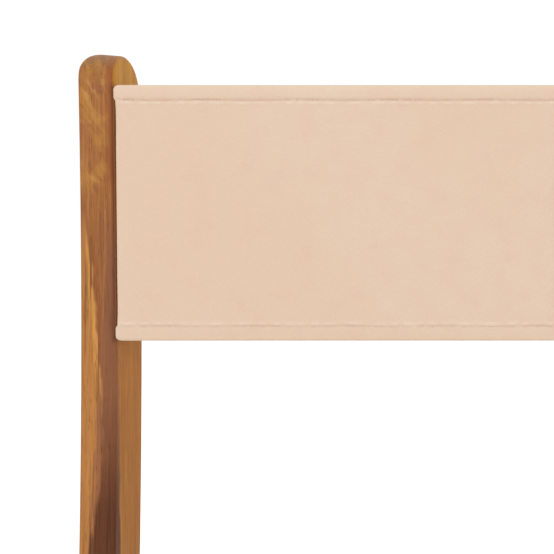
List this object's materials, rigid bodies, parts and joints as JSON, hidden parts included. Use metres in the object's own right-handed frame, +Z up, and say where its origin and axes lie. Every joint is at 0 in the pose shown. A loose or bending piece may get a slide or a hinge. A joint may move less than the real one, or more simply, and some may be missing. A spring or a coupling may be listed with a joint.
{
  "type": "folding chair",
  "caption": "Armless folding chair in oiled hardwood: bent posts crossed by a leg frame, with a stretched cloth back panel and a cloth sling seat that turns up to fold.",
  "frame": {"origin": "on the floor, under the middle of the open chair's bounding box", "axes": "+Z up, the chair faces -Y, +X to the right of someone in front of the chair"},
  "size_m": [0.487, 0.5302, 0.896],
  "materials": {
    "oiled_wood": "oiled, semi-matt",
    "cloth": "fine close weave, matt",
    "steel": "satin zinc plate",
    "nylon": "moulded, matt"
  },
  "bodies": {
    "back_frame": {"post_left": "oiled_wood", "post_right": "oiled_wood", "front_stretcher": "oiled_wood", "back_rail": "oiled_wood", "back_fabric": "cloth", "back_batten_left": "oiled_wood", "back_batten_right": "oiled_wood", "back_screw_left_1": "steel", "back_screw_left_2": "steel", "back_screw_left_3": "steel", "back_screw_right_1": "steel", "back_screw_right_2": "steel", "back_screw_right_3": "steel", "front_stretcher_screw_left_1": "steel", "front_stretcher_screw_left_2": "steel", "front_stretcher_screw_right_1": "steel", "front_stretcher_screw_right_2": "steel", "back_rail_screw_left_1": "steel", "back_rail_screw_left_2": "steel", "back_rail_screw_right_1": "steel", "back_rail_screw_right_2": "steel", "front_glide_left": "nylon", "front_glide_right": "nylon", "leg_pivot_bolt_left": "steel", "leg_pivot_bolt_right": "steel", "leg_pivot_washer_left": "nylon", "leg_pivot_washer_right": "nylon", "leg_pivot_nut_left": "steel", "leg_pivot_nut_right": "steel", "seat_pivot_bolt_left": "steel", "seat_pivot_bolt_right": "steel", "seat_pivot_spacer_left": "steel", "seat_pivot_spacer_right": "steel", "seat_pivot_nut_left": "steel", "seat_pivot_nut_right": "steel"},
    "leg_frame": {"leg_left": "oiled_wood", "leg_right": "oiled_wood", "seat_support_bar": "oiled_wood", "rear_stretcher": "oiled_wood", "rear_glide_left": "nylon", "rear_glide_right": "nylon"},
    "seat_frame": {"seat_rail_left": "oiled_wood", "seat_rail_right": "oiled_wood", "seat_front_rail": "oiled_wood", "seat_rear_rail": "oiled_wood", "seat_fabric": "cloth", "seat_batten_left": "oiled_wood", "seat_batten_right": "oiled_wood", "seat_cleat_left": "oiled_wood", "seat_cleat_right": "oiled_wood", "seat_cleat_screw_left": "steel", "seat_cleat_screw_right": "steel", "seat_screw_left_1": "steel", "seat_screw_left_2": "steel", "seat_screw_left_3": "steel", "seat_screw_right_1": "steel", "seat_screw_right_2": "steel", "seat_screw_right_3": "steel"}
  },
  "joints": [
    {"name": "leg_fold", "type": "hinge", "parent": "back_frame", "child": "leg_frame", "pos_m": [0, -0.03495, 0.225], "axis": [-1, 0, 0], "range_deg": [0, 66]},
    {"name": "seat_fold", "type": "hinge", "parent": "back_frame", "child": "seat_frame", "pos_m": [0, 0.09694, 0.43], "axis": [-1, 0, 0], "range_deg": [0, 98.01]}
  ],
  "couplings": [
    {"joint": "seat_fold", "follows": "leg_fold", "ratio": 1.485}
  ]
}
